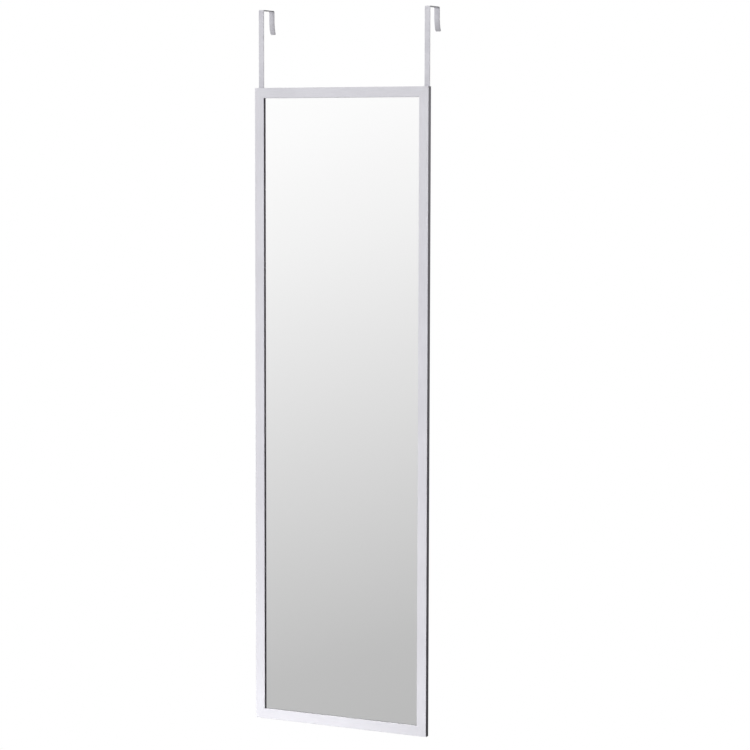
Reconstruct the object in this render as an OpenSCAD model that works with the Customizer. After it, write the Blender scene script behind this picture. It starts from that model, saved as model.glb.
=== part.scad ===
// Over-the-door mirror: a mitred silver moulding round a long glass pane,
// hung from two bent steel strips that hook over the top of a door.
// Origin: midway between the hooks, where the door's top edge meets its front face.
// The mirror looks along -Y, +X is to the right of someone facing it and +Z is up.

/* [Frame] */
// Overall width of the frame
frame_w = 375; // [250:5:600]
// Overall height of the frame
frame_h = 1250; // [700:10:1600]
// Depth of the moulding from front to back
frame_t = 11; // [10.5:0.5:20]
// Width of the moulding's face
face_w = 20; // [18:1:40]
// Width of the lip that covers the edge of the glass
lip_w = 5; // [3:0.5:6]
// Thickness of the lip in front of the glass
lip_t = 2.5; // [1.5:0.25:3]
// Radius of the moulding's outer front edge
edge_r = 0.8; // [0.3:0.1:1.2]
// Radius of the lip's edge, beside the glass
lip_r = 0.8; // [0.5:0.1:1.4]

/* [Pane and backing] */
// Thickness of the mirror glass
glass_t = 3; // [2:0.5:3.5]
// Thickness of the foam sheet behind the glass
foam_t = 1; // [0.5:0.25:1.5]
// Thickness of the hardboard back
board_t = 2.5; // [1.5:0.5:3]
// Gap left round the glass, the foam and the board inside the rebate
edge_gap = 0.75; // [0.25:0.25:1.5]

/* [Glazing points] */
// Length of a point, wood and overhang together
point_l = 14; // [10:1:18]
// Width of a point
point_w = 6; // [3:0.5:10]
// Thickness of a point
point_t = 0.5; // [0.3:0.1:0.8]
// How far a point is driven into the moulding
point_bite = 5.5; // [3:0.5:8]
// Distance from the frame's corner to the first point
point_end = 85; // [80:5:110]
// Points along each stile
stile_points = 5; // [2:1:9]
// Points along each rail
rail_points = 2; // [2:1:4]

/* [Corner wedges] */
// Length of each leg of a wedge
wedge_leg = 4.5; // [3:0.5:6]
// Thickness of the wedge's steel
wedge_t = 0.5; // [0.3:0.1:0.8]
// Depth that a wedge is driven to
wedge_depth = 7; // [4:0.5:9]
// Distance along the mitre from the outer corner to the first wedge
wedge_first = 5; // [4:0.5:6]
// Distance along the mitre from the first wedge to the second
wedge_pitch = 6.5; // [6:0.5:8]

/* [Hooks] */
// Width of the hook's steel strip
strip_w = 11; // [8:0.5:12]
// Thickness of the strip
strip_t = 1.5; // [1.4:0.1:3]
// Distance from the frame's outer edge to the strip
strip_inset = 3; // [2:0.5:5]
// Height of the door's top edge above the frame
hook_rise = 150; // [60:2:300]
// Clear width between the two legs, for a door's thickness
door_gap = 41; // [30:1:60]
// Inside radius of the two bends
bend_r = 1.5; // [1:0.25:4]
// Height of the rear leg below the door's top edge
rear_drop = 45; // [35:1:70]
// Distance below the door's top edge at which the rear leg starts to flare
flare_start = 18; // [8:1:24]
// Radius of the flare
flare_r = 66; // [64:2:150]
// Length of the strip behind the stile
leg_overlap = 62; // [50:1:75]
// Radius of the strip's end corners
tip_r = 2; // [0.5:0.5:4]

/* [Hook screws] */
// Diameter of a screw's shank
screw_d = 2.5; // [2:0.1:3]
// Diameter of the countersunk head
head_d = 5; // [4.6:0.1:5.2]
// Length of a screw, with its head
screw_l = 9; // [6:0.5:9.5]
// Length of the screw's pointed end
screw_tip = 2; // [1:0.5:3]
// Distance from the frame's top edge down to the upper screw
screw_first = 20; // [12:1:24]
// Distance between the two screws of a hook
screw_pitch = 26; // [10:1:28]
// Gap round the screw in the strip
screw_clear = 0.1; // [0.05:0.05:0.3]
// Gap round the screw in the moulding
pilot_clear = 0.05; // [0.02:0.01:0.1]
// Width across the arms of the cross recess
recess_w = 2.6; // [1.6:0.2:3]
// Width of one arm of the cross recess
recess_arm = 0.6; // [0.4:0.1:0.8]
// Depth of the cross recess
recess_depth = 0.9; // [0.5:0.1:1.2]

/* [Bumpers] */
// Diameter of a bumper
bumper_d = 10; // [6:0.5:12]
// Height of a bumper's centre above the frame's bottom edge
bumper_up = 32; // [25:1:120]
// Chamfer round the bumper's free face
bumper_chamfer = 0.5; // [0.2:0.1:0.8]

/* [Hidden] */

$fn = 48;
// Length by which a cutting tool passes the face that it cuts
over = 1;

// Sides of the object
LEFT = -1;
RIGHT = 1;
TOP = 1;
BOTTOM = -1;

// The strip's back lies on the door's face, and the moulding's back lies on the strip
back_y = -strip_t;
front_y = back_y - frame_t;
top_z = -hook_rise;
bottom_z = top_z - frame_h;
mid_z = top_z - frame_h / 2;

// The stack of sheets in the rebate, from the lip backwards
glass_y = front_y + lip_t;
foam_y = glass_y + glass_t;
board_y = foam_y + foam_t;
point_y = board_y + board_t;

// The flat back of the moulding beside the rebate, and the sheets' outline
back_w = face_w - lip_w;
pane_w = frame_w - 2 * (back_w + edge_gap);
pane_h = frame_h - 2 * (back_w + edge_gap);

// Centres of what is fixed to a stile, measured in from the frame's outer edge
strip_centre = strip_inset + strip_w / 2;
bumper_centre = back_w / 2;

// Depth of the countersink, whose flank is at 45 degrees
head_h = (head_d - screw_d) / 2;

silver_foil = [0.84, 0.84, 0.87];
steel_strip = [0.80, 0.80, 0.83];
mirror_silver = [0.90, 0.92, 0.93];
bright_steel = [0.70, 0.71, 0.72];
white_foam = [0.95, 0.95, 0.94];
brown_board = [0.50, 0.36, 0.24];
grey_rubber = [0.45, 0.46, 0.48];

// ---- The moulding ----

// Removes the corner of a quadrant outside a circle of radius r
module corner_waste(r) {
    difference() {
        translate([-over, -over]) square([r + over, r + over]);
        translate([r, r]) circle(r);
    }
}

// Section of the moulding: x is depth from the front, y is height below the outer edge
module moulding_section() {
    difference() {
        translate([0, -face_w]) square([frame_t, face_w]);
        translate([lip_t, -face_w - over]) square([frame_t, lip_w + over]);
        mirror([0, 1]) corner_waste(edge_r);
        translate([0, -face_w]) corner_waste(lip_r);
    }
}

// Places children once for each of count places along a side of the given length
module along_side(length, count) {
    step = (length - 2 * point_end) / (count - 1);
    for (i = [0 : count - 1])
        translate([-length / 2 + point_end + i * step, 0, 0]) children();
}

// A side of the frame, lying along X with its outer edge up at Z = 0
module frame_side(length, count) {
    difference() {
        intersection() {
            translate([0, front_y, 0]) rotate([90, 0, 90])
                linear_extrude(length, center = true) moulding_section();
            translate([0, back_y + over, 0]) rotate([90, 0, 0])
                linear_extrude(frame_t + 2 * over) polygon([
                    [-length / 2 - over, over],
                    [length / 2 + over, over],
                    [length / 2 - face_w - over, -face_w - over],
                    [-length / 2 + face_w + over, -face_w - over]
                ]);
        }
        along_side(length, count) point();
        for (side = [LEFT, RIGHT])
            translate([side * length / 2, 0, 0]) mirror([(side + 1) / 2, 0, 0])
                mirror([0, 0, 1]) wedge_pair(over);
    }
}

// Moves a side that lies along X to its place in the frame
module to_top() { translate([0, 0, top_z]) children(); }
module to_bottom() { translate([0, 0, bottom_z]) mirror([0, 0, 1]) children(); }
module to_left() { translate([-frame_w / 2, 0, mid_z]) rotate([0, -90, 0]) children(); }
module to_right() { translate([frame_w / 2, 0, mid_z]) rotate([0, 90, 0]) children(); }

module rail() { frame_side(frame_w, rail_points); }
module stile() { frame_side(frame_h, stile_points); }

// Pilot holes that take the two screws of a hook
module pilot_holes(side) {
    at_screws(side)
        cylinder(h = screw_l - strip_t + over, r = screw_d / 2 + pilot_clear);
}

module top_rail() { color(silver_foil) to_top() rail(); }
module bottom_rail() { color(silver_foil) to_bottom() rail(); }

module left_stile() {
    color(silver_foil) difference() {
        to_left() stile();
        pilot_holes(LEFT);
    }
}

module right_stile() {
    color(silver_foil) difference() {
        to_right() stile();
        pilot_holes(RIGHT);
    }
}

// ---- Wedges across the mitres ----

// One V-shaped wedge, its point on the mitre and its legs opening inwards
module wedge_outline() {
    for (turn = [-40, 40])
        rotate(turn) translate([-wedge_t / 2, -wedge_t / 2]) square([wedge_leg, wedge_t]);
}

// The two wedges of a corner whose outer point is at X = Z = 0 and whose wood is at +X, +Z.
// proud lets the tool that cuts their pockets pass the moulding's back.
module wedge_pair(proud = 0) {
    for (i = [0, 1])
        translate([0, back_y + proud, 0]) rotate([90, 0, 0])
            linear_extrude(wedge_depth + proud) rotate(45)
                translate([wedge_first + i * wedge_pitch, 0]) wedge_outline();
}

// Turns the wedges to the corner at one side and one end of the frame
module wedges(side, end) {
    color(bright_steel)
        translate([side * frame_w / 2, 0, end == TOP ? top_z : bottom_z])
            mirror([(side + 1) / 2, 0, 0]) mirror([0, 0, (end + 1) / 2]) wedge_pair();
}

module top_left_wedges() { wedges(LEFT, TOP); }
module top_right_wedges() { wedges(RIGHT, TOP); }
module bottom_left_wedges() { wedges(LEFT, BOTTOM); }
module bottom_right_wedges() { wedges(RIGHT, BOTTOM); }

// ---- Glass, foam and board ----

// A sheet of the stack: y is where its front lies
module sheet(y, thickness) {
    translate([-pane_w / 2, y, mid_z - pane_h / 2]) cube([pane_w, thickness, pane_h]);
}

module mirror_glass() { color(mirror_silver) sheet(glass_y, glass_t); }
module foam_sheet() { color(white_foam) sheet(foam_y, foam_t); }
module backing_board() { color(brown_board) sheet(board_y, board_t); }

// ---- Points that hold the board ----

// One point, driven up into a side that lies along X: its tip is in the wood
module point() {
    half = point_w / 2;
    translate([0, point_y + point_t, -back_w]) rotate([90, 0, 0])
        linear_extrude(point_t) polygon([
            [-half, point_bite - point_l],
            [half, point_bite - point_l],
            [half, point_bite - half],
            [0, point_bite],
            [-half, point_bite - half]
        ]);
}

module top_points() { color(bright_steel) to_top() along_side(frame_w, rail_points) point(); }
module bottom_points() { color(bright_steel) to_bottom() along_side(frame_w, rail_points) point(); }
module left_points() { color(bright_steel) to_left() along_side(frame_h, stile_points) point(); }
module right_points() { color(bright_steel) to_right() along_side(frame_h, stile_points) point(); }

// ---- Hooks ----

// A quarter of a ring whose corner of the strip points up and to the left
module bend_section() {
    intersection() {
        difference() {
            circle(bend_r + strip_t);
            circle(bend_r);
        }
        translate([-bend_r - strip_t, 0]) square(bend_r + strip_t);
    }
}

// The rear leg below flare_start, curving away from the door and cut off square:
// x is away, y is up, and the leg starts between x = 0 and x = strip_t
module flare_section() {
    outer_r = flare_r + strip_t;
    turn = asin((rear_drop - flare_start) / outer_r);
    reach = 2 * outer_r;
    translate([outer_r, 0]) intersection() {
        difference() {
            circle(outer_r, $fn = 180);
            circle(flare_r, $fn = 180);
        }
        polygon([[0, 0], [-reach, 0], [-reach * cos(turn), -reach * sin(turn)]]);
    }
}

// Side view of a hook: x is depth, from 0 at the door's front face, and y is height
module hook_section() {
    leg_bottom = top_z - leg_overlap;
    translate([-strip_t, leg_bottom]) square([strip_t, -bend_r - leg_bottom]);
    translate([bend_r, -bend_r]) bend_section();
    translate([bend_r, 0]) square([door_gap - 2 * bend_r, strip_t]);
    translate([door_gap - bend_r, -bend_r]) mirror([1, 0]) bend_section();
    translate([door_gap, -flare_start]) square([strip_t, flare_start - bend_r]);
    translate([door_gap, -flare_start]) flare_section();
}

// Cuts that round the two corners of a strip's end at height z
module tip_waste(y, depth, z) {
    for (side = [LEFT, RIGHT])
        translate([side * strip_w / 2, y, z]) mirror([(side + 1) / 2, 0, 0])
            rotate([90, 0, 0]) linear_extrude(depth) corner_waste(tip_r);
}

// Places children at a hook's centre line, which stands behind a stile
module at_strip(side) {
    translate([side * (frame_w / 2 - strip_centre), 0, 0]) children();
}

// Places children at a hook's two screws, pointing into the moulding from the door's face
module at_screws(side) {
    for (i = [0, 1])
        at_strip(side) translate([0, 0, top_z - screw_first - i * screw_pitch])
            rotate([90, 0, 0]) children();
}

module hook(side) {
    rear_y = door_gap + flare_r + strip_t;
    color(steel_strip) difference() {
        at_strip(side) difference() {
            rotate([90, 0, 90]) linear_extrude(strip_w, center = true) hook_section();
            tip_waste(over, strip_t + 2 * over, top_z - leg_overlap);
            tip_waste(rear_y, flare_r, -rear_drop);
        }
        at_screws(side) countersink();
    }
}

module left_hook() { hook(LEFT); }
module right_hook() { hook(RIGHT); }

// ---- Screws ----

// The hole in the strip, a gap wider than the screw all round
module countersink() {
    translate([0, 0, -over])
        cylinder(h = strip_t + 2 * over, r = screw_d / 2 + screw_clear);
    cylinder(h = head_h, r1 = head_d / 2 + screw_clear, r2 = screw_d / 2 + screw_clear);
}

// One screw, its head flush with the strip and its tip up the local Z axis
module screw() {
    difference() {
        union() {
            cylinder(h = head_h, d1 = head_d, d2 = screw_d);
            cylinder(h = screw_l - screw_tip, d = screw_d);
            translate([0, 0, screw_l - screw_tip])
                cylinder(h = screw_tip, d1 = screw_d, d2 = 0);
        }
        for (turn = [0, 90])
            rotate(turn) translate([-recess_w / 2, -recess_arm / 2, -over])
                cube([recess_w, recess_arm, recess_depth + over]);
    }
}

module left_hook_screws() { color(bright_steel) at_screws(LEFT) screw(); }
module right_hook_screws() { color(bright_steel) at_screws(RIGHT) screw(); }

// ---- Bumpers ----

// A pad on the back of a stile, as thick as the strip, so that the mirror hangs upright
module bumper(side) {
    color(grey_rubber)
        translate([side * (frame_w / 2 - bumper_centre), 0, bottom_z + bumper_up])
            rotate([90, 0, 0]) {
                cylinder(h = bumper_chamfer, d1 = bumper_d - 2 * bumper_chamfer, d2 = bumper_d);
                translate([0, 0, bumper_chamfer])
                    cylinder(h = strip_t - bumper_chamfer, d = bumper_d);
            }
}

module left_bumper() { bumper(LEFT); }
module right_bumper() { bumper(RIGHT); }

top_rail();
bottom_rail();
left_stile();
right_stile();
mirror_glass();
foam_sheet();
backing_board();
top_points();
bottom_points();
left_points();
right_points();
top_left_wedges();
top_right_wedges();
bottom_left_wedges();
bottom_right_wedges();
left_hook();
right_hook();
left_hook_screws();
right_hook_screws();
left_bumper();
right_bumper();
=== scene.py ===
import bpy
import bmesh
from math import asin, atan2, pi, radians
from mathutils import Matrix, Vector


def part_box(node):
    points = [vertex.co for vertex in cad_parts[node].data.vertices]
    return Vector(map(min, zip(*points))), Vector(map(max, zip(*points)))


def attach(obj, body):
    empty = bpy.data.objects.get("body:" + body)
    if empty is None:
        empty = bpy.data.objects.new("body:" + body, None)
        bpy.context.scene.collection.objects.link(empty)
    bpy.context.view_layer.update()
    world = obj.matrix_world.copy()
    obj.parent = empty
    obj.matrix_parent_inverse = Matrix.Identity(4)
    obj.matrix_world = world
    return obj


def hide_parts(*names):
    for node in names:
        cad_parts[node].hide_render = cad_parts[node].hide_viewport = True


mm = 0.001
nearly = 0.01 * mm  # points closer than this count as one
past = 1 * mm  # how far a cutting tool reaches past the face that it cuts
rightAngle = pi / 2

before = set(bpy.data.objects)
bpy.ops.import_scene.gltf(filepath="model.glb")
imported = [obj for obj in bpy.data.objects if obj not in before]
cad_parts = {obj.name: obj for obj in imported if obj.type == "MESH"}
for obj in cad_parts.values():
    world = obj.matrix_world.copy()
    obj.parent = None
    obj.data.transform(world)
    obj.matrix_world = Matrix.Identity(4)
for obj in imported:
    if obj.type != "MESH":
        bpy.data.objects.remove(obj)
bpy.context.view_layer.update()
print("frame loaded:", len(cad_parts), "nodes")


# A colour as a picker shows it, 0 to 255, made linear
def shade(red, green, blue):
    def one(value):
        value /= 255
        return value / 12.92 if value <= 0.04045 else ((value + 0.055) / 1.055) ** 2.4
    return (one(red), one(green), one(blue), 1)


def grey(value):
    return (value, value, value, 1)


class Wire:  # one socket of a node tree, so that sums of values read as sums
    def __init__(self, tree, socket=None):
        self.tree = tree
        self.socket = socket

    # Any node: its settings first, then the values or wires of its sockets
    def add(self, kind, settings=None, feeds=None, out=0):
        made = self.tree.nodes.new(kind)
        for name, value in (settings or {}).items():
            if name == "stops":
                ramp = made.color_ramp
                while len(ramp.elements) < len(value):
                    ramp.elements.new(1)
                for stop, (place, colour) in zip(ramp.elements, value):
                    stop.position = place
                    stop.color = colour
            else:
                setattr(made, name, value)
        for name, value in (feeds or {}).items():
            if isinstance(value, Wire):
                self.tree.links.new(value.socket, made.inputs[name])
            else:
                made.inputs[name].default_value = value
        return Wire(self.tree, made.outputs[out]) if made.outputs else None

    def maths(self, operation, first, second=0.0):
        return self.add("ShaderNodeMath", {"operation": operation}, {0: first, 1: second})

    def __add__(self, other):
        return self.maths("ADD", self, other)

    def __radd__(self, other):
        return self.maths("ADD", other, self)

    def __sub__(self, other):
        return self.maths("SUBTRACT", self, other)

    def __rsub__(self, other):
        return self.maths("SUBTRACT", other, self)

    def __mul__(self, other):
        return self.maths("MULTIPLY", self, other)

    def __rmul__(self, other):
        return self.maths("MULTIPLY", other, self)

    def __lt__(self, other):
        return self.maths("LESS_THAN", self, other)

    def __gt__(self, other):
        return self.maths("GREATER_THAN", self, other)

    def __abs__(self):
        return self.maths("ABSOLUTE", self)


# 0 below low, 1 above high and smooth between them; low may be above high
def rise(wire, low, high):
    turned = low > high
    step = wire.add("ShaderNodeMapRange", {"interpolation_type": "SMOOTHSTEP"}, {
        "Value": wire, "From Min": min(low, high), "From Max": max(low, high)}, "Result")
    return 1 - step if turned else step


# One colour or the other, by a mask. Sockets 6 and 7 are the colours, and output 2 their mix
def between(mask, plain, covered):
    return mask.add("ShaderNodeMix", {"data_type": "RGBA"}, {
        "Factor": mask, 6: plain, 7: covered}, 2)


def noise(place, scale, detail=3.0, rough=0.5, warp=0.0):
    return place.add("ShaderNodeTexNoise", {}, {
        "Vector": place, "Scale": scale, "Detail": detail, "Roughness": rough,
        "Distortion": warp}, "Fac")


# The piece's own place, stretched so that a pattern runs long where stretch is small
def stretched(place, stretch, turn=(0, 0, 0)):
    return place.add("ShaderNodeMapping", {}, {
        "Vector": place, "Rotation": turn, "Scale": stretch}, "Vector")


# The three values of a place or a direction
def xyz(vector):
    split = vector.add("ShaderNodeSeparateXYZ", {}, {0: vector})
    return [Wire(vector.tree, value) for value in split.socket.node.outputs]


# A new material, and the place on the piece, in the piece's own coordinates
def newMaterial(name):
    material = bpy.data.materials.new(name)
    material.use_nodes = True
    material.node_tree.nodes.clear()
    return material, Wire(material.node_tree).add("ShaderNodeTexCoord", out="Object")


# Ends a material in one principled shader; bump is a height from 0 to 1 over its reach in metres
def finishMaterial(place, feeds, bump=None, strength=1.0, reach=0.1 * mm):
    if bump is not None:
        feeds["Normal"] = place.add("ShaderNodeBump", {}, {
            "Strength": strength, "Distance": reach, "Height": bump}, "Normal")
    surface = place.add("ShaderNodeBsdfPrincipled", {}, feeds, "BSDF")
    surface.add("ShaderNodeOutputMaterial", {}, {"Surface": surface})


def deselect():
    if bpy.context.mode != "OBJECT":
        bpy.ops.object.mode_set(mode="OBJECT")
    bpy.ops.object.select_all(action="DESELECT")


# Makes one piece the active and only selected one
def take(piece):
    deselect()
    piece.select_set(True)
    bpy.context.view_layer.objects.active = piece


# Takes the primitive that was just added, under a name, with its place and size in its mesh
def named(name, scale=(1, 1, 1)):
    piece = bpy.context.active_object
    piece.name = piece.data.name = name
    piece.scale = scale
    bpy.ops.object.transform_apply(location=True, rotation=True, scale=True)
    return piece


def addCube(name, low, high):
    deselect()
    low, high = Vector(low), Vector(high)
    bpy.ops.mesh.primitive_cube_add(size=1, location=(low + high) / 2)
    return named(name, high - low)


# Opens one piece in edit mode with nothing selected
def editing(piece, kind):
    take(piece)
    bpy.ops.object.mode_set(mode="EDIT")
    bpy.ops.mesh.select_mode(type=kind)
    bpy.ops.mesh.select_all(action="DESELECT")


# In edit mode, selects the faces that pass a test on their middle and normal
def pickFaces(piece, test):
    shape = bmesh.from_edit_mesh(piece.data)
    for face in shape.faces:
        face.select_set(bool(test(face.calc_center_median(), face.normal)))
    shape.select_flush_mode()
    bmesh.update_edit_mesh(piece.data)


# In edit mode, selects the edges that pass a test on their two ends
def pickEdges(piece, test):
    shape = bmesh.from_edit_mesh(piece.data)
    for edge in shape.edges:
        edge.select_set(bool(test(edge.verts[0].co, edge.verts[1].co)))
    shape.select_flush_mode()
    bmesh.update_edit_mesh(piece.data)


# In edit mode, selects the edges between faces that meet at more than an angle
def pickSharp(piece, angle, test=lambda a, b: True):
    shape = bmesh.from_edit_mesh(piece.data)
    for edge in shape.edges:
        bent = edge.is_manifold and edge.calc_face_angle(0) > radians(angle)
        edge.select_set(bool(bent and test(edge.verts[0].co, edge.verts[1].co)))
    shape.select_flush_mode()
    bmesh.update_edit_mesh(piece.data)


def extrude(move):
    bpy.ops.mesh.extrude_region_move(TRANSFORM_OT_translate={"value": move})


# Cuts all of a mesh along a plane, and may clear what lies outside it and close the cut
def cut(place, normal, clear=False, fill=False):
    bpy.ops.mesh.select_all(action="SELECT")
    bpy.ops.mesh.bisect(plane_co=place, plane_no=normal, clear_outer=clear, use_fill=fill,
                        threshold=0.0001 * mm)


def soften(width, steps):
    bpy.ops.mesh.bevel(offset=width, segments=steps, affect="EDGES", clamp_overlap=True)


# Merges doubles, turns every face outwards and puts the piece's origin back at the frame's
def closeUp(piece, merge=0.002 * mm, smooth=35):
    editing(piece, "VERT")
    bpy.ops.mesh.select_all(action="SELECT")
    bpy.ops.mesh.remove_doubles(threshold=merge)
    bpy.ops.mesh.normals_make_consistent(inside=False)
    bpy.ops.object.mode_set(mode="OBJECT")
    bpy.ops.object.transform_apply(location=True, rotation=True, scale=True)
    if smooth:
        bpy.ops.object.shade_smooth_by_angle(angle=radians(smooth))


def applyModifier(piece, name, kind, **settings):
    take(piece)
    modifier = piece.modifiers.new(name, kind)
    for key, value in settings.items():
        setattr(modifier, key, value)
    bpy.ops.object.modifier_apply(modifier=name)


# Cuts the tools out of a piece, each with a closed mesh
def carve(piece, tools):
    for tool in tools:
        applyModifier(piece, "carve", "BOOLEAN", operation="DIFFERENCE", solver="EXACT",
                      object=tool)


def copyOf(piece, name):
    twin = piece.copy()
    twin.data = piece.data.copy()
    twin.name = twin.data.name = name
    bpy.context.scene.collection.objects.link(twin)
    return twin


# Copies a model to places, each a matrix, and joins the copies under one name
def spread(model, name, places):
    copies = []
    for place in places:
        twin = copyOf(model, name)
        twin.data.transform(place)
        if place.determinant() < 0:
            twin.data.flip_normals()
        copies.append(twin)
    take(copies[0])
    for twin in copies[1:]:
        twin.select_set(True)
    if len(copies) > 1:
        bpy.ops.object.join()
    joined = bpy.context.active_object
    joined.name = joined.data.name = name
    return joined


def remove(*pieces):
    for piece in pieces:
        bpy.data.objects.remove(piece)


# Gives a piece its materials, by a function from a face to the number of its material
def dress(piece, materials, choose=None):
    piece.data.materials.clear()
    for material in materials:
        piece.data.materials.append(material)
    for face in piece.data.polygons:
        face.material_index = choose(face.center, face.normal) if choose else 0


# Hands a finished piece to the frame, its flat faces shaded flat beside the rounded edges
def settle(piece, slot, *nodes):
    applyModifier(piece, "flat faces", "WEIGHTED_NORMAL", keep_sharp=True)
    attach(piece, "root")
    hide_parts(*nodes)


topLow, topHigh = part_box("top_rail")
hookLow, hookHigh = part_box("left_hook")
backY, frontY = topHigh.y, topLow.y
topZ, bottomZ = topHigh.z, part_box("bottom_rail")[0].z
halfWidth = topHigh.x
midZ = (topZ + bottomZ) / 2
faceWidth = topHigh.z - topLow.z

camera = {
    "place": (2.159, -4.227, -0.274),
    "yaw": 26.3,  # degrees to the left of straight on
    "pitch": 5.2,  # degrees down
    "roll": 0.14,  # degrees
    "lens": 117.6,  # millimetres
}


def addCamera():
    data = bpy.data.cameras.new("camera")
    data.sensor_width = 36
    data.lens = camera["lens"]
    data.clip_end = 100
    eye = bpy.data.objects.new("camera", data)
    bpy.context.scene.collection.objects.link(eye)
    turn = (Matrix.Rotation(radians(camera["yaw"]), 4, "Z")
            @ Matrix.Rotation(radians(90 - camera["pitch"]), 4, "X")
            @ Matrix.Rotation(radians(camera["roll"]), 4, "Z"))
    eye.matrix_world = Matrix.Translation(camera["place"]) @ turn
    bpy.context.scene.camera = eye


addCamera()
print("camera placed")

foil = {
    "colour": shade(216, 215, 221),
    "deep": shade(206, 205, 211),
    "worn": shade(172, 171, 176),
    "metallic": 0.35,
    "roughness": 0.36,
    "coat": 0.15,
    "coatRoughness": 0.25,
    "streaks": 26,  # scale of the brushed streaks, before they are stretched
    "across": 40.0,  # how much finer they are across a side
    "along": 1.2,  # and along it
    "clouds": 9,
    "flakes": 2600,
    "relief": 0.02 * mm,
}


# Silver foil on a side of the frame. Long is the axis it runs along,
# and fromEdge gives the distance from the frame's outer edge
def foilMaterial(name, long, fromEdge):
    material, place = newMaterial(name)
    x, y, z = xyz(place)
    stretch = [foil["across"]] * 3
    stretch[long] = foil["along"]
    streaks = noise(stretched(place, tuple(stretch)), foil["streaks"], 4, 0.6)
    cloud = noise(place, foil["clouds"], 3)
    flakes = noise(place, foil["flakes"], 2, 0.7)
    colour = between(rise(streaks * 0.6 + cloud * 0.4, 0.34, 0.66), foil["deep"], foil["colour"])
    # rubbed in places along the outer front edge of the moulding
    edge = abs(fromEdge(x, y, z) - 0.4 * mm)
    rim = rise(edge, 0.9 * mm, 0.2 * mm) * rise(y, frontY + 1.4 * mm, frontY + 0.5 * mm)
    patches = noise(stretched(place, tuple(8 * value for value in stretch)), 1.0, 5, 0.7)
    rubs = rim * rise(patches, 0.56, 0.74)
    colour = between(rubs * 0.5, colour, foil["worn"])
    rough = foil["roughness"] + 0.12 * (streaks - 0.5) + 0.06 * (flakes - 0.5) + rubs * 0.15
    finishMaterial(place, {
        "Base Color": colour, "Metallic": foil["metallic"], "Roughness": rough,
        "Coat Weight": foil["coat"], "Coat Roughness": foil["coatRoughness"]},
        streaks * 0.5 + flakes * 0.5, strength=0.25, reach=foil["relief"])
    return material


raw = {
    "light": shade(203, 178, 140),
    "dark": shade(168, 138, 101),
    "fibre": shade(132, 104, 74),
    "turnOver": 2.6 * mm,  # how far the foil is turned over onto the back
    "ragged": 1.0 * mm,  # how much that varies
    "rags": 420,  # and in how small steps
    "grain": 900,
    "patches": 60,
    "specks": 2200,
    "along": 0.35,  # the grain runs longer along a side
    "sawMarks": 22,
    "sawAlong": 60,  # and the saw marks lie across it
    "roughness": 0.86,
    "relief": 0.12 * mm,
}


# Raw fibreboard of the moulding's back, with the foil's ragged edge turned over it
def rawMaterial(name, long, fromEdge):
    material, place = newMaterial(name)
    x, y, z = xyz(place)
    lengthwise, crosswise = [1.0] * 3, [1.0] * 3
    lengthwise[long], crosswise[long] = raw["along"], raw["sawAlong"] / raw["along"]
    fibres = stretched(place, tuple(lengthwise))
    grain = noise(fibres, raw["grain"], 4, 0.7)
    specks = noise(fibres, raw["specks"], 2, 0.6)
    patches = noise(place, raw["patches"], 3, 0.6)
    saw = noise(stretched(place, tuple(crosswise)), raw["sawMarks"], 2)
    colour = between(rise(grain * 0.55 + patches * 0.45, 0.36, 0.62), raw["dark"], raw["light"])
    colour = between(rise(specks, 0.66, 0.74) * 0.6, colour, raw["fibre"])
    # the foil's edge, on the back face only
    edge = fromEdge(x, y, z) + (noise(place, raw["rags"], 3, 0.7) - 0.5) * raw["ragged"]
    wrap = rise(edge, raw["turnOver"] + 0.1 * mm, raw["turnOver"] - 0.1 * mm)
    wrap = wrap * (y > backY - 0.4 * mm)
    colour = between(wrap, colour, foil["deep"])
    height = (grain * 0.7 + specks * 0.3 + saw * 0.3) * (1 - wrap) + wrap * 1.2
    finishMaterial(place, {
        "Base Color": colour, "Metallic": wrap * foil["metallic"],
        "Roughness": raw["roughness"] - wrap * 0.42}, height, strength=0.5, reach=raw["relief"])
    return material


paint = {
    # the rebate's dark grey is painted shade, for the shadow deep in the rebate
    "rebate": (shade(38, 38, 40), shade(66, 64, 63)),  # the second is its colour where it is thin
    "lip": (shade(188, 188, 189), shade(176, 175, 176)),
    "roughness": 0.7,
    "grain": 900,
    "thinPatches": 90,
    "relief": 0.1 * mm,
}


# Matt paint in the rebate, its dark grey there painted shade, and on the lip's back, which the mirror
# shows beside the lip
def paintMaterial(name, plain, worn):
    material, place = newMaterial(name)
    grain = noise(place, paint["grain"], 4, 0.7)
    thin = rise(noise(place, paint["thinPatches"], 4, 0.7), 0.55, 0.75)
    colour = between(thin * 0.4, plain, worn)
    finishMaterial(place, {
        "Base Color": colour, "Roughness": paint["roughness"] + 0.2 * (grain - 0.5)},
        grain, strength=0.4, reach=paint["relief"])
    return material


zinc = {
    "colour": shade(206, 207, 210),
    "dull": shade(168, 170, 175),
    "metallic": 0.6,
    "roughness": 0.3,
    "tarnish": 0.08,  # of the wedges, from 0 for bright
    "spangle": 700,
    "scratches": 700,
    "clouds": 300,
    "relief": 0.02 * mm,
}


# Bright zinc on points, wedges and screws
def zincMaterial(name, tarnish=0.0):
    material, place = newMaterial(name)
    spangle = place.add("ShaderNodeTexVoronoi", {}, {
        "Vector": place, "Scale": zinc["spangle"]}, "Color")
    patch = spangle.add("ShaderNodeSeparateColor", {}, {0: spangle}, 0)
    scratch = noise(stretched(place, (1, 1, 9), (0, 0.6, 0)), zinc["scratches"], 4, 0.7)
    cloud = noise(place, zinc["clouds"], 3)
    mix = rise(patch * 0.35 + scratch * 0.35 + cloud * 0.3 - tarnish, 0.3, 0.6)
    colour = between(mix, zinc["dull"], zinc["colour"])
    rough = zinc["roughness"] + 0.18 * (1 - mix) + 0.1 * (scratch - 0.5)
    finishMaterial(place, {"Base Color": colour, "Metallic": zinc["metallic"], "Roughness": rough},
                   scratch * 0.6 + patch * 0.4, strength=0.25, reach=zinc["relief"])
    return material


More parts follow.
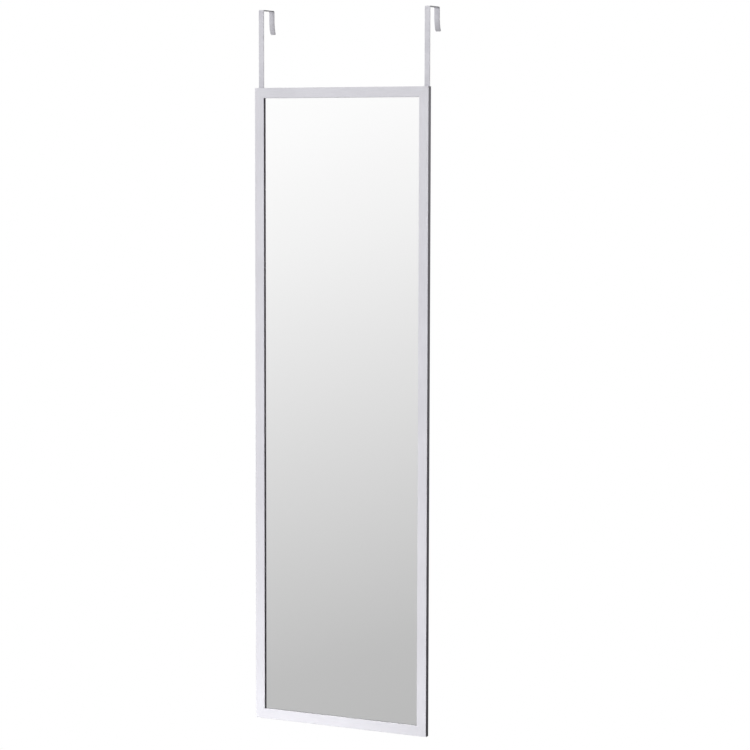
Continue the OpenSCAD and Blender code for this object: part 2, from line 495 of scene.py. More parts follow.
hookCoat = {
    "colour": shade(210, 209, 215),
    "deep": shade(199, 198, 205),
    "scuff": shade(160, 160, 166),
    "metallic": 0.3,
    "roughness": 0.4,
    "coat": 0.2,
    "coatRoughness": 0.3,
    "grit": 3200,
    "peel": 700,  # orange peel
    "clouds": 30,
    "scuffs": 900,
    "relief": 0.03 * mm,
}


# Fine silver paint on the strip of the hooks, scuffed where it hangs on the door
def hookMaterial():
    material, place = newMaterial("hookSilver")
    y, z = xyz(place)[1:]
    grit = noise(place, hookCoat["grit"], 2, 0.6)
    cloud = noise(place, hookCoat["clouds"], 3, 0.6)
    peel = noise(place, hookCoat["peel"], 2, 0.5)
    colour = between(rise(cloud * 0.7 + grit * 0.3, 0.36, 0.64), hookCoat["deep"], hookCoat["colour"])
    # the door rubs the paint inside the bends and under the bridge
    inside = rise(z, -2.2 * mm, -0.2 * mm) * rise(z, 0.9 * mm, 0.3 * mm)
    gap = strip["gap"]
    inside = inside * rise(y, -0.3 * mm, 0.1 * mm) * rise(y, gap + 0.4 * mm, gap)
    scuffs = noise(stretched(place, (1, 0.25, 1)), hookCoat["scuffs"], 4, 0.7)
    rubbed = inside * rise(scuffs, 0.5, 0.62)
    colour = between(rubbed * 0.7, colour, hookCoat["scuff"])
    rough = hookCoat["roughness"] + 0.08 * (grit - 0.5) + 0.05 * (peel - 0.5) + rubbed * 0.1
    finishMaterial(place, {
        "Base Color": colour, "Metallic": hookCoat["metallic"], "Roughness": rough,
        "Coat Weight": hookCoat["coat"], "Coat Roughness": hookCoat["coatRoughness"]},
        grit * 0.35 + peel * 0.65 - rubbed * 0.5, strength=0.35, reach=hookCoat["relief"])
    return material


hardboard = {
    "light": shade(158, 117, 79),
    "dark": shade(118, 82, 52),
    "fibre": shade(187, 150, 108),
    "meshPitch": 1.7 * mm,  # of the wire mesh that it was pressed on
    "sway": 1.2 * mm,  # how far the mesh's lines wander
    "swayScale": 14,
    "fibres": 900,
    "crossFibres": 1100,
    "patches": 16,
    "roughness": 0.78,
    "relief": 0.12 * mm,
}


# Hardboard: the mesh side with its pressed squares and loose fibres, the pits of the pressed mesh
# painted darker as painted shade
def hardboardMaterial():
    material, place = newMaterial("hardboardBrown")
    x, y, z = xyz(place)
    turn = 2 * pi / hardboard["meshPitch"]
    sway = (noise(place, hardboard["swayScale"], 2) - 0.5) * hardboard["sway"]
    rows = x.maths("SINE", (z + sway) * turn)
    columns = x.maths("SINE", (x + sway) * turn)
    mesh = (rows * 0.5 + 0.5) * (columns * 0.5 + 0.5)
    upright = stretched(place, (1, 1, 0.4), (0, 0.5, 0))
    level = stretched(place, (0.4, 1, 1), (0, 0.4, 0))
    fibres = noise(upright, hardboard["fibres"], 4, 0.75, 0.6)
    cross = noise(level, hardboard["crossFibres"], 4, 0.75, 0.6)
    patches = noise(place, hardboard["patches"], 5, 0.7)
    # fibres and patches are the board's own tone; the pressed mesh adds painted shade, darker in its
    # pits
    toneAndPitShade = fibres * 0.45 + cross * 0.3 + patches * 0.25 + (mesh - 0.4) * 0.16
    colour = between(rise(toneAndPitShade, 0.36, 0.64), hardboard["dark"], hardboard["light"])
    colour = between(rise(fibres, 0.68, 0.78) * 0.55, colour, hardboard["fibre"])
    finishMaterial(place, {
        "Base Color": colour, "Roughness": hardboard["roughness"] + 0.14 * (fibres - 0.5)},
        mesh * 0.8 + fibres * 0.35 + cross * 0.25, strength=0.6, reach=hardboard["relief"])
    return material


rubber = {
    "colour": shade(92, 93, 96),
    "dust": shade(142, 142, 142),
    "roughness": 0.68,
    "grain": 2400,
    "dustPatches": 260,
    "relief": 0.04 * mm,
}


# Grey rubber of the bumpers, with a fine moulded grain
def rubberMaterial():
    material, place = newMaterial("bumperRubber")
    grain = noise(place, rubber["grain"], 3, 0.6)
    dust = noise(place, rubber["dustPatches"], 4, 0.7)
    colour = between(rise(dust, 0.5, 0.8) * 0.5, rubber["colour"], rubber["dust"])
    finishMaterial(place, {
        "Base Color": colour, "Roughness": rubber["roughness"] + 0.16 * (grain - 0.5)},
        grain, strength=0.35, reach=rubber["relief"])
    return material


foamSkin = {
    # painted shade, for the low grooves between the cells
    "grooveShade": shade(224, 225, 224),
    "wall": shade(247, 247, 245),
    "cells": 650,
    "wallWidth": 0.12,  # as a share of a cell
    "clouds": 24,
    "roughness": 0.85,
    "relief": 0.15 * mm,
}


# White closed-cell foam: small cells with soft walls, and the low grooves between them painted a
# darker grey as painted shade
def foamMaterial():
    material, place = newMaterial("foamWhite")
    cells = place.add("ShaderNodeTexVoronoi", {"feature": "DISTANCE_TO_EDGE"}, {
        "Vector": place, "Scale": foamSkin["cells"]}, "Distance")
    walls = rise(cells, 0.0, foamSkin["wallWidth"])
    cloud = noise(place, foamSkin["clouds"], 3)
    # the grooves at the cells' edges get the darker grey: painted shade
    colour = between(walls * 0.6 + cloud * 0.3, foamSkin["grooveShade"], foamSkin["wall"])
    finishMaterial(place, {"Base Color": colour, "Roughness": foamSkin["roughness"] - 0.1 * walls},
                   walls, strength=0.4, reach=foamSkin["relief"])
    return material


glass = {
    "clear": (shade(254, 254, 254), shade(255, 255, 255)),
    "index": 1.52,  # of refraction
    "silver": (shade(250, 250, 250), shade(252, 252, 252)),
    "backPaint": (shade(112, 118, 116), shade(126, 131, 129)),
    "backRoughness": 0.6,
    "backSpecks": 1500,
}


# Clear float glass, a trace duller in places. Its front reflects nothing of its own,
# so that the silver alone makes the mirror's picture
def glassMaterial():
    material, place = newMaterial("paneGlass")
    colour = between(noise(place, 3, 2), *glass["clear"])
    finishMaterial(place, {
        "Base Color": colour, "Roughness": 0.0, "IOR": glass["index"], "Transmission Weight": 1.0,
        "Specular Tint": grey(0.0)})
    return material


# The silvered back of the glass: silver seen through the glass, grey paint from behind
def silveringMaterial():
    material, place = newMaterial("silvering")
    silver = place.add("ShaderNodeBsdfPrincipled", {}, {
        "Base Color": between(noise(place, 2, 2), *glass["silver"]),
        "Metallic": 1.0, "Roughness": 0.0}, "BSDF")
    speck = noise(place, glass["backSpecks"], 3, 0.6)
    backPaint = place.add("ShaderNodeBsdfPrincipled", {}, {
        "Base Color": between(rise(speck, 0.4, 0.7), *glass["backPaint"]),
        "Roughness": glass["backRoughness"] + 0.1 * (speck - 0.5)}, "BSDF")
    behind = place.add("ShaderNodeNewGeometry", out="Backfacing")
    surface = place.add("ShaderNodeMixShader", {}, {0: behind, 1: backPaint, 2: silver})
    surface.add("ShaderNodeOutputMaterial", {}, {"Surface": surface})
    return material


print("finishes ready")

moulding = {
    "lipWidth": 5 * mm,
    "lipThickness": 2.5 * mm,
    "edgeRadius": 0.8 * mm,
    "lipRadius": 0.8 * mm,  # of the edge beside the glass
    "edgeSteps": 6,
    "mitreArris": 0.11 * mm,  # breaks the edges that meet at a mitre, so that its line shows
    "backArris": 0.25 * mm,
}
backWidth = faceWidth - moulding["lipWidth"]  # of its flat back, beside the rebate
lipBack = frontY + moulding["lipThickness"]


# A side along X, its outer edge at Z = 0 and its wood below, with mitred ends
def sideModel(name, length):
    half = length / 2
    piece = addCube(name, (-half, frontY, -backWidth), (half, backY, 0))
    editing(piece, "FACE")
    cut((0, lipBack, 0), (0, 1, 0))
    pickFaces(piece, lambda middle, normal: normal.z < -0.9 and middle.y < lipBack)
    extrude((0, 0, -moulding["lipWidth"]))
    for end in (-1, 1):
        cut((end * half, 0, 0), (end, 0, -1), clear=True, fill=True)
    bpy.ops.mesh.select_mode(type="EDGE")
    for at, radius in ((0, moulding["edgeRadius"]), (-faceWidth, moulding["lipRadius"])):
        def frontEdge(a, b):
            level = abs(a.z - at) < nearly and abs(b.z - at) < nearly
            return level and abs(a.x - b.x) > half and max(a.y, b.y) < frontY + nearly

        pickEdges(piece, frontEdge)
        soften(radius, moulding["edgeSteps"])

    # every edge of the mitred ends
    def mitreEdge(a, b):
        def on(p):
            return abs(abs(p.x) - p.z - half) < nearly
        return on(a) and on(b) and a.x * b.x > 0

    pickEdges(piece, mitreEdge)
    soften(moulding["mitreArris"], 1)

    def backEdge(a, b):
        level = abs(a.z - b.z) < nearly and abs(a.x - b.x) > half
        return level and min(a.y, b.y) > backY - nearly

    pickEdges(piece, backEdge)
    soften(moulding["backArris"], 2)
    closeUp(piece, smooth=0)
    return piece


foilFace, rawFace, rebateFace, lipFace = range(4)  # a side's finishes, in their order


# Foil on the faces that show, raw board on the back and the mitred ends,
# and paint on the rebate's wall and the lip's back
def mouldingSkin(outward, fromEdge):
    def choose(middle, normal):
        across = normal.dot(outward)
        if middle.y > lipBack + 0.05 * mm and across < -0.7:
            return rebateFace
        if normal.y > 0.9 and fromEdge(*middle) > backWidth - 0.1 * mm:
            return lipFace
        end = abs(normal.y) < 0.3 and 0.3 < abs(across) < 0.9
        back = normal.y > 0.4 and fromEdge(*middle) < backWidth
        return rawFace if end or back else foilFace
    return choose


point = {
    "width": 6 * mm,
    "thickness": 0.5 * mm,
    "overhang": 8.5 * mm,
    "bite": 5.5 * mm,
    "shoulder": 3 * mm,  # length of the pointed part
    "tip": 0.02,  # width left at its end, as a share
    "corner": 0.8 * mm,
    "arris": 0.07 * mm,
    "slotClear": 0.04 * mm,
    "perRail": 2,
    "perStile": 5,
}


# A point along Z: its tip up in the wood, its flat in XZ, the wood's edge at Z = 0
def pointModel(grow=0.0):
    half, thick = point["width"] / 2 + grow, point["thickness"] / 2 + grow
    shoulder = point["bite"] - point["shoulder"]
    piece = addCube("pointModel", (-half, -thick, -point["overhang"] - grow), (half, thick, shoulder))
    editing(piece, "FACE")
    pickFaces(piece, lambda middle, normal: normal.z > 0.9)
    extrude((0, 0, point["shoulder"] + grow))
    bpy.ops.transform.resize(value=(point["tip"], 1, 1))
    if not grow:
        # the free corners are rounded, and every edge is broken
        bpy.ops.mesh.select_mode(type="EDGE")
        pickEdges(piece, lambda a, b: abs(a.y - b.y) > thick and a.z < 0 and b.z < 0)
        soften(point["corner"], 4)
        pickSharp(piece, 50)
        soften(point["arris"], 1)
    closeUp(piece)
    return piece


# Places spread evenly between the two points that the frame's node ends with
def rowOf(start, end, count):
    start, end = start + point["width"] / 2, end - point["width"] / 2
    return [start + (end - start) * i / (count - 1) for i in range(count)]


railLow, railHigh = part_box("top_points")
stileLow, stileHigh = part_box("left_points")
pointY = railLow.y + point["thickness"] / 2
railRow = rowOf(railLow.x, railHigh.x, point["perRail"])
stileRow = rowOf(stileLow.z, stileHigh.z, point["perStile"])
pointSpots = {
    "top_points": [Matrix.Translation((x, pointY, topZ - backWidth)) for x in railRow],
    "bottom_points": [Matrix.Translation((x, pointY, bottomZ + backWidth))
                      @ Matrix.Rotation(2 * rightAngle, 4, "Y") for x in railRow],
    "left_points": [Matrix.Translation((-halfWidth + backWidth, pointY, z))
                    @ Matrix.Rotation(-rightAngle, 4, "Y") for z in stileRow],
    "right_points": [Matrix.Translation((halfWidth - backWidth, pointY, z))
                     @ Matrix.Rotation(rightAngle, 4, "Y") for z in stileRow],
}

wedge = {
    "leg": 4.5 * mm,
    "thickness": 0.5 * mm,
    "depth": 7 * mm,
    "sunk": 0.2 * mm,  # how far below the back it is driven
    "half": 40,  # degrees from the mitre to each leg
    "perCorner": 2,
    "first": 5 * mm,  # from the frame's corner to the first one's point
    "pitch": 6.5 * mm,  # and on to the next one's
    "arris": 0.06 * mm,
    "pocketClear": 0.05 * mm,
}


# A wedge with its point at the origin, opening along +X, and its depth along -Y from 0
def wedgeModel(top, grow=0.0):
    half = wedge["thickness"] / 2 + grow
    turn = radians(wedge["half"])
    piece = addCube("wedgeModel", (-half, -wedge["depth"] - grow, -half),
                    (wedge["leg"] - wedge["thickness"] / 2 + grow, top, half))
    piece.rotation_euler = (0, -turn, 0)
    bpy.ops.object.transform_apply(location=False, rotation=True, scale=False)
    editing(piece, "FACE")
    cut((0, 0, 0), (0, 0, -1), clear=True)
    bpy.ops.object.mode_set(mode="OBJECT")
    applyModifier(piece, "other leg", "MIRROR", use_axis=(False, False, True), use_clip=True,
                  merge_threshold=nearly)
    closeUp(piece, smooth=0)
    if not grow:
        editing(piece, "EDGE")
        pickSharp(piece, 30, lambda a, b: a.y > -1 * mm and b.y > -1 * mm)
        soften(wedge["arris"], 1)
        closeUp(piece)
    return piece


# Places of a corner's wedges: across is the side in X and up the end in Z
def wedgeSpots(across, up):
    corner = Vector((across * halfWidth, backY, topZ if up > 0 else bottomZ))
    inward = Vector((-across, 0, -up)).normalized()
    turn = Matrix.Rotation(atan2(-inward.z, inward.x), 4, "Y")
    return [Matrix.Translation(corner + inward * (wedge["first"] + i * wedge["pitch"])) @ turn
            for i in range(wedge["perCorner"])]


corners = {
    "top_left_wedges": (-1, 1), "top_right_wedges": (1, 1),
    "bottom_left_wedges": (-1, -1), "bottom_right_wedges": (1, -1),
}

screw = {
    "shank": 2.5 * mm,
    "head": 5 * mm,
    "length": 9 * mm,
    "tip": 2 * mm,
    "tipRadius": 0.12 * mm,
    "rim": 0.08 * mm,  # the head's broken edge
    "land": 0.06 * mm,  # and the upright band below it
    "recessWidth": 2.6 * mm,
    "recessArm": 0.62 * mm,
    "recessDepth": 0.9 * mm,
    "recessTaper": (0.45, 1, 0.7),  # the size of an arm's floor, as shares of its opening
    "clear": 0.06 * mm,  # round the screw in its countersink
    "sinkDepth": 3 * mm,  # reach of the tool that cuts it, right through the strip
    "pilotClear": 0.05 * mm,
    "pilotBeyond": 0.1 * mm,  # how much deeper than the screw its pilot hole goes
    "firstTurn": 20,  # degrees, of the upper screw's cross
    "nextTurn": 47,  # and how much further the lower one is turned
}


# A screw with its head's face at Y = 0 and its point along -Y
def screwModel():
    head, shank, rim = screw["head"] / 2, screw["shank"] / 2, screw["rim"]
    deselect()
    bpy.ops.mesh.primitive_circle_add(vertices=48, radius=head - rim, fill_type="NGON",
                                      rotation=(-rightAngle, 0, 0))
    piece = named("screwModel")
    editing(piece, "FACE")
    bpy.ops.mesh.select_all(action="SELECT")
    steps = [  # how far down, and the radius there
        (rim, head), (rim + screw["land"], head), (head - shank, shank),
        (screw["length"] - screw["tip"], shank), (screw["length"], screw["tipRadius"])]
    reached, radius = 0.0, head - rim
    for depth, wide in steps:
        extrude((0, reached - depth, 0))
        bpy.ops.transform.resize(value=(wide / radius, 1, wide / radius))
        reached, radius = depth, wide
    closeUp(piece, smooth=0)
    arms = []
    for turn in (0, rightAngle):
        half, arm = screw["recessWidth"] / 2, screw["recessArm"] / 2
        tool = addCube("recessArm", (-half, -screw["recessDepth"], -arm), (half, past, arm))
        editing(tool, "FACE")
        pickFaces(tool, lambda middle, normal: normal.y < -0.9)
        bpy.ops.transform.resize(value=screw["recessTaper"])
        bpy.ops.object.mode_set(mode="OBJECT")
        tool.rotation_euler = (0, turn, 0)
        bpy.ops.object.transform_apply(location=False, rotation=True, scale=False)
        arms.append(tool)
    carve(piece, arms)
    remove(*arms)
    closeUp(piece, smooth=30)
    return piece


stripX = (hookLow.x + hookHigh.x) / 2  # of the left hook; the right one mirrors it
screwLow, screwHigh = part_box("left_hook_screws")
screwRow = [screwHigh.z - screw["head"] / 2, screwLow.z + screw["head"] / 2]
screwSpots = {
    side: [Matrix.Translation((across * -stripX, 0, z)) for z in screwRow]
    for side, across in (("left", -1), ("right", 1))
}

# Each node's piece, the axis it runs along, its outward side and the distance from its outer edge
sides = {
    "top_rail": ("topRail", 0, (0, 0, 1), lambda x, y, z: topZ - z),
    "bottom_rail": ("bottomRail", 0, (0, 0, -1), lambda x, y, z: z - bottomZ),
    "left_stile": ("leftStile", 2, (-1, 0, 0), lambda x, y, z: x + halfWidth),
    "right_stile": ("rightStile", 2, (1, 0, 0), lambda x, y, z: halfWidth - x),
}

# A side, its length, place and turn about Y, and the opposite side, which mirrors it
pairs = [
    ("top_rail", 2 * halfWidth, (0, 0, topZ), 0, "bottom_rail",
     Matrix.Translation((0, 0, 2 * midZ)) @ Matrix.Scale(-1, 4, (0, 0, 1))),
    ("left_stile", topZ - bottomZ, (-halfWidth, 0, midZ), -rightAngle, "right_stile",
     Matrix.Scale(-1, 4, (1, 0, 0))),
]

slotTool = pointModel(point["slotClear"])
pocketTool = wedgeModel(past, wedge["pocketClear"])
deselect()
bpy.ops.mesh.primitive_cylinder_add(vertices=24, radius=screw["shank"] / 2 + screw["pilotClear"],
                                    depth=screw["length"], rotation=(rightAngle, 0, 0),
                                    location=(0, -screw["length"] / 2 - screw["pilotBeyond"], 0))
pilotTool = named("pilotTool")


# A side at its place, with its slots, pockets and pilot holes cut
def carvedSide(node, length, place, turn):
    piece = sideModel(node, length)
    take(piece)
    piece.location = place
    piece.rotation_euler = (0, turn, 0)
    bpy.ops.object.transform_apply(location=True, rotation=True, scale=True)
    side = node.split("_")[0]
    tools = [spread(slotTool, "slots", pointSpots[side + "_points"])]
    for corner, (across, up) in corners.items():
        if side in corner:
            tools.append(spread(pocketTool, "pockets", wedgeSpots(across, up)))
    if "stile" in node:
        tools.append(spread(pilotTool, "pilots", screwSpots[side]))
    carve(piece, tools)
    remove(*tools)
    closeUp(piece, merge=0.0005 * mm, smooth=30)
    return piece


# Takes a carved side as it is or mirrored, and gives it its finishes
def finishSide(model, node, mirror):
    name, long, outward, fromEdge = sides[node]
    piece = spread(model, name, [mirror])
    finishes = [foilMaterial(name + "Foil", long, fromEdge),
                rawMaterial(name + "Raw", long, fromEdge), *paints]
    dress(piece, finishes, mouldingSkin(Vector(outward), fromEdge))
    settle(piece, "frame", node)


paints = [paintMaterial(part + "Paint", *paint[part]) for part in ("rebate", "lip")]
for node, length, place, turn, opposite, mirror in pairs:
    model = carvedSide(node, length, place, turn)
    finishSide(model, node, Matrix())
    finishSide(model, opposite, mirror)
    remove(model)
remove(slotTool, pocketTool, pilotTool)
print("frame sides made")

brightZinc = zincMaterial("zincBright")
dullZinc = zincMaterial("zincDull", zinc["tarnish"])


# Drives a fastener in at each of its spots, all as one piece
def driveIn(model, name, spots, finish, node):
    piece = spread(model, name, spots)
    closeUp(piece, merge=0.0005 * mm, smooth=30)
    dress(piece, [finish])
    settle(piece, "fasteners", node)


model = pointModel()
for node, spots in pointSpots.items():
    driveIn(model, node.split("_")[0] + "Points", spots, brightZinc, node)
remove(model)

model = wedgeModel(-wedge["sunk"])
for node, (across, up) in corners.items():
    words = node.split("_")
    name = words[0] + words[1].title() + "Wedges"
    driveIn(model, name, wedgeSpots(across, up), dullZinc, node)
remove(model)

model = screwModel()
for side, spots in screwSpots.items():
    turned = [spot @ Matrix.Rotation(radians(screw["firstTurn"] + screw["nextTurn"] * i), 4, "Y")
              for i, spot in enumerate(spots)]
    driveIn(model, side + "HookScrews", turned, brightZinc, side + "_hook_screws")
remove(model)
print("fasteners made")

strip = {
    "bendRadius": 1.5 * mm,
    "bendSteps": 10,
    "gap": 41 * mm,  # clear width for the door
    "flareStart": 18 * mm,
    "flareRadius": 66 * mm,
    "flareSteps": 16,
    "rearDrop": 45 * mm,
    "tipRadius": 2 * mm,
    "arris": 0.22 * mm,
}


# Sweeps the selected face about a line along X
def turnAbout(y, z, angle, steps):
    bpy.ops.mesh.spin(steps=steps, angle=angle, center=(0, y, z), axis=(1, 0, 0), dupli=False)


# The strip of a hook about X = 0, swept up the door, over its top and down behind it
def hookModel():
    width = hookHigh.x - hookLow.x
    thick = -hookLow.y
    low, bend, gap = hookLow.z, strip["bendRadius"], strip["gap"]
    outer = strip["flareRadius"] + thick
    piece = addCube("hookModel", (-width / 2, -thick, low), (width / 2, 0, -bend))
    editing(piece, "FACE")
    pickFaces(piece, lambda middle, normal: normal.z > 0.9)
    turnAbout(bend, -bend, rightAngle, strip["bendSteps"])
    extrude((0, gap - 2 * bend, 0))
    turnAbout(gap - bend, -bend, rightAngle, strip["bendSteps"])
    extrude((0, 0, bend - strip["flareStart"]))
    flare = asin((strip["rearDrop"] - strip["flareStart"]) / outer)
    turnAbout(gap + outer, -strip["flareStart"], -flare, strip["flareSteps"])
    closeUp(piece, smooth=0)
    # round the four corners of the two ends
    editing(piece, "EDGE")

    def tipEdge(a, b):
        acrossStrip = abs(a.x - b.x) < nearly and 0.8 * thick < (a - b).length < 1.2 * thick
        frontTip = max(a.z, b.z) < low + nearly
        rearTip = min(a.y, b.y) > gap + thick and min(a.z, b.z) < -strip["rearDrop"] + 0.1 * mm
        return acrossStrip and (frontTip or rearTip)

    pickEdges(piece, tipEdge)
    soften(strip["tipRadius"], 8)
    closeUp(piece, smooth=0)
    applyModifier(piece, "broken edges", "BEVEL", width=strip["arris"], segments=3,
                  limit_method="ANGLE", angle_limit=radians(50))
    return piece


# The countersink for a screw, a little wider than it, and its cone carried on past the face
def countersinkTool():
    deselect()
    clear, head, shank = screw["clear"], screw["head"] / 2, screw["shank"] / 2
    bpy.ops.mesh.primitive_circle_add(vertices=48, radius=head + clear + past, fill_type="NGON",
                                      location=(0, past, 0), rotation=(-rightAngle, 0, 0))
    tool = named("countersinkTool")
    editing(tool, "FACE")
    bpy.ops.mesh.select_all(action="SELECT")
    reached, radius = -past, head + clear + past
    for depth, wide in ((head - shank, shank + clear), (screw["sinkDepth"], shank + clear)):
        extrude((0, reached - depth, 0))
        bpy.ops.transform.resize(value=(wide / radius, 1, wide / radius))
        reached, radius = depth, wide
    closeUp(tool, smooth=0)
    return tool


hookSilver = hookMaterial()
model, sinkTool = hookModel(), countersinkTool()
for side, across in (("left", -1), ("right", 1)):
    piece = spread(model, side + "Hook", [Matrix.Translation((across * -stripX, 0, 0))])
    tools = [spread(sinkTool, "sink", [spot]) for spot in screwSpots[side]]
    carve(piece, tools)
    remove(*tools)
    closeUp(piece, merge=0.0005 * mm, smooth=30)
    dress(piece, [hookSilver])
    settle(piece, "hooks", side + "_hook")
remove(model, sinkTool)
print("hooks made")

stack = {
    "glassArris": 0.35 * mm,
    "glassLift": 0.04 * mm,  # air between the glass and what it lies on
    "boardArris": 0.2 * mm,
    "boardCorner": 1.5 * mm,
    "foamEdge": 0.3 * mm,
    "foamClear": 0.02 * mm,
}


def pane():
    low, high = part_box("mirror_glass")
    lift = Vector((0, stack["glassLift"], 0))
    piece = addCube("mirrorPane", low + lift, high - lift / 2)
    editing(piece, "EDGE")
    pickSharp(piece, 50)
    soften(stack["glassArris"], 1)
    closeUp(piece, smooth=0)
    dress(piece, [glassMaterial(), silveringMaterial()],
          lambda middle, normal: 1 if normal.y > 0.9 else 0)
    settle(piece, "mirror", "mirror_glass")


def board():
    piece = addCube("backBoard", *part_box("backing_board"))
    editing(piece, "EDGE")
    pickEdges(piece, lambda a, b: abs(a.y - b.y) > 1 * mm)
    soften(stack["boardCorner"], 5)
    pickSharp(piece, 50)
    soften(stack["boardArris"], 2)
    closeUp(piece, smooth=30)
    dress(piece, [hardboardMaterial()])
    settle(piece, "board", "backing_board")


def foam():
    low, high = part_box("foam_sheet")
    inset = Vector((0, stack["foamClear"], 0))
    piece = addCube("foamSheet", low + inset, high - inset)
    editing(piece, "EDGE")
    pickSharp(piece, 50)
    soften(stack["foamEdge"], 3)
    closeUp(piece, smooth=30)
    dress(piece, [foamMaterial()])
    settle(piece, "foam", "foam_sheet")


pane()
board()
foam()
print("glass, foam and board made")

bumper = {
    "rim": 0.5 * mm,
    "rimSteps": 4,
    "dish": 0.12 * mm,
    "dishFrom": 0.9 * mm,  # the flat ring round the dish
    "dishSlope": 0.3 * mm,
}
bumperGrey = rubberMaterial()


def bumperPad(side):
    low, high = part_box(side + "_bumper")
    middle = (low + high) / 2
    deselect()
    bpy.ops.mesh.primitive_cylinder_add(vertices=64, radius=(high.x - low.x) / 2,
                                        depth=high.y - low.y, location=middle,
                                        rotation=(rightAngle, 0, 0))
    piece = named(side + "Bumper")
    editing(piece, "EDGE")
    pickEdges(piece, lambda a, b: min(a.y, b.y) > high.y - nearly)
    soften(bumper["rim"], bumper["rimSteps"])
    # a shallow dish with a smooth rim in the free face
    bpy.ops.mesh.select_mode(type="FACE")
    pickFaces(piece, lambda at, normal: normal.y > 0.99 and (at - middle).length < high.y - low.y)
    bpy.ops.mesh.inset(thickness=bumper["dishFrom"])
    bpy.ops.mesh.inset(thickness=bumper["dishSlope"])
    bpy.ops.transform.translate(value=(0, -bumper["dish"], 0))
    closeUp(piece, smooth=40)
    dress(piece, [bumperGrey])
    settle(piece, "bumpers", side + "_bumper")


for side in ("left", "right"):
    bumperPad(side)
print("bumpers made")

studio = {
    "floorZ": -2.0,
    "shadowReach": 1.2,
    "shadow": 0.25,
    "ambient": grey(0.32),  # light that comes from all round, but for the dark side
    "below": grey(0.10),  # and is weaker from below
    "dark": grey(0.015),
    "panel": grey(4.5),
    "overhead": grey(0.74),  # what the mirror shows of the ceiling
    "room": [  # and of the room, by height, from straight down to straight up
        (0.0, grey(0.30)), (0.31, grey(0.404)), (0.3953, grey(0.541)), (0.4407, grey(0.733)),
        (0.4825, grey(0.918)), (0.5069, grey(1.004)), (0.5223, grey(1.03)), (1.0, grey(1.03))],
}

lamps = {
    # name: place, aimed at, width, height, power in watts
    "key": ((-2.8, -2.4, -0.6), (0, 0, -0.75), 1.8, 2.2, 18),
    "front": ((-1.2, -4.4, -0.7), (0, 0, -0.75), 1.2, 2.6, 127),
    "top": ((0.2, -0.6, 2.2), (0, 0, -0.6), 1.4, 1.4, 23),
    "side": ((1.3, 0.15, 0.5), (0, 0, -0.1), 0.8, 0.8, 7.2),
    "lowLeft": ((-0.6, -0.6, -1.75), (-0.15, 0, -1.38), 0.3, 0.3, 3.8),
    "lowRight": ((0.1, -1.1, -2.05), (0.1, 0, -1.35), 0.3, 0.4, 9.3),
    "back": ((-1.4, 3.3, -0.4), (0, 0, -0.75), 2.4, 2.6, 80),
}


def addLamp(name):
    place, aim, wide, high, power = lamps[name]
    data = bpy.data.lights.new(name, "AREA")
    data.shape = "RECTANGLE"
    data.size, data.size_y = wide, high
    data.energy = power
    lamp = bpy.data.objects.new(name, data)
    bpy.context.scene.collection.objects.link(lamp)
    turn = (Vector(aim) - Vector(place)).to_track_quat("-Z", "Y")
    lamp.matrix_world = Matrix.Translation(place) @ turn.to_matrix().to_4x4()
    # the mirror shows no lamp
    lamp.visible_camera = lamp.visible_glossy = lamp.visible_transmission = False


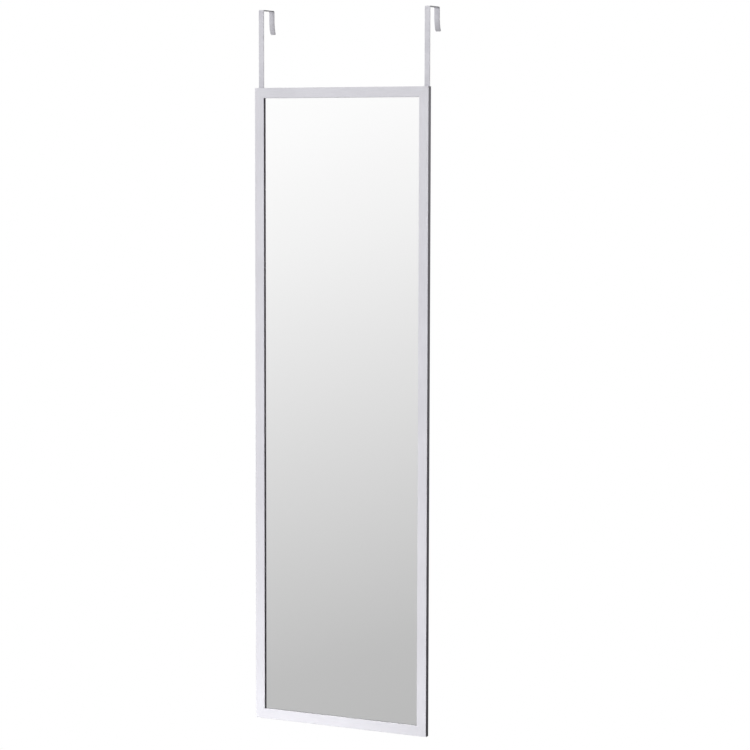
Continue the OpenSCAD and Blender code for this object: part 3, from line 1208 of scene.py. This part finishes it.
# White for the camera; what the mirror shows pales upwards, and one side is left dark
def addWorld():
    world = bpy.data.worlds.new("studio")
    bpy.context.scene.world = world
    world.use_nodes = True
    tree = world.node_tree
    tree.nodes.clear()
    start = Wire(tree)
    way = start.add("ShaderNodeTexCoord", out="Generated")
    x, y, z = xyz(way)
    # the mirrored room: white over the horizon, grey towards the floor, a little paler to the left
    aside = x.maths("MAXIMUM", x.maths("MINIMUM", x + 0.455, 0.1), -0.1)
    height = (z - 0.34 * aside) * 0.5 + 0.5
    room = z.add("ShaderNodeValToRGB", {"stops": studio["room"]}, {0: height}, "Color")
    # the dark side, which is not seen from in front
    outside = between(rise(x, 0.0, 0.25) * rise(y, -0.9, -0.55), room, studio["dark"])
    # a bright panel high in front, which lights the bottom lip's back through the glass
    panel = rise(z, 0.1, 0.25) * rise(z, 0.8, 0.5) * rise(x, 0.0, -0.12) * rise(y, 0.1, -0.2)
    inside = between(panel, between(rise(x, -0.1, 0.1), room, studio["dark"]), studio["panel"])
    dim = between(rise(z, -0.4, 0.4), studio["below"], studio["ambient"])
    soft = between(rise(x * 0.9 + y * 0.3, -0.15, 0.5), dim, studio["dark"])
    rays = start.add("ShaderNodeLightPath", out="Is Camera Ray")
    paths = rays.socket.node.outputs
    through = Wire(tree, paths["Is Transmission Ray"])
    # what is seen in the mirror itself, and not what lights the lip beside it
    mirrored = (Wire(tree, paths["Diffuse Depth"]) < 0.5) * (Wire(tree, paths["Glossy Depth"]) < 1.5)
    overhead = between(rise(z, 0.06, 0.35), room, studio["overhead"])
    glossy = between(through, outside, between(mirrored, inside, overhead))
    shiny = rays.maths("MAXIMUM", Wire(tree, paths["Is Glossy Ray"]), through)
    colour = between(rays, between(shiny, soft, glossy), grey(1.0))
    light = start.add("ShaderNodeBackground", {}, {"Color": colour, "Strength": 1.0})
    light.add("ShaderNodeOutputWorld", {}, {"Surface": light})
    world.cycles.sampling_method = "NONE"  # so that each ray sees the light meant for it


# White floor with the object's soft shadow, seen only by the camera and from above
def addFloor():
    deselect()
    bpy.ops.mesh.primitive_plane_add(size=60, location=(0, 0, studio["floorZ"]))
    floor = named("floor")
    material, place = newMaterial("floorWhite")
    rays = place.add("ShaderNodeLightPath", out="Is Camera Ray")
    unshaded = place.add("ShaderNodeAmbientOcclusion", {"samples": 8}, {
        "Distance": studio["shadowReach"]}, "AO")
    white = place.add("ShaderNodeEmission", {}, {
        "Color": between(unshaded, grey(1 - studio["shadow"]), grey(1.0))})
    clear = place.add("ShaderNodeBsdfTransparent", {}, {})
    behind = place.add("ShaderNodeNewGeometry", out="Backfacing")
    surface = place.add("ShaderNodeMixShader", {}, {0: rays * (1 - behind), 1: clear, 2: white})
    surface.add("ShaderNodeOutputMaterial", {}, {"Surface": surface})
    floor.data.materials.append(material)


for name in lamps:
    addLamp(name)
addWorld()
addFloor()
bpy.context.scene.view_settings.view_transform = "Standard"
print("studio lit")
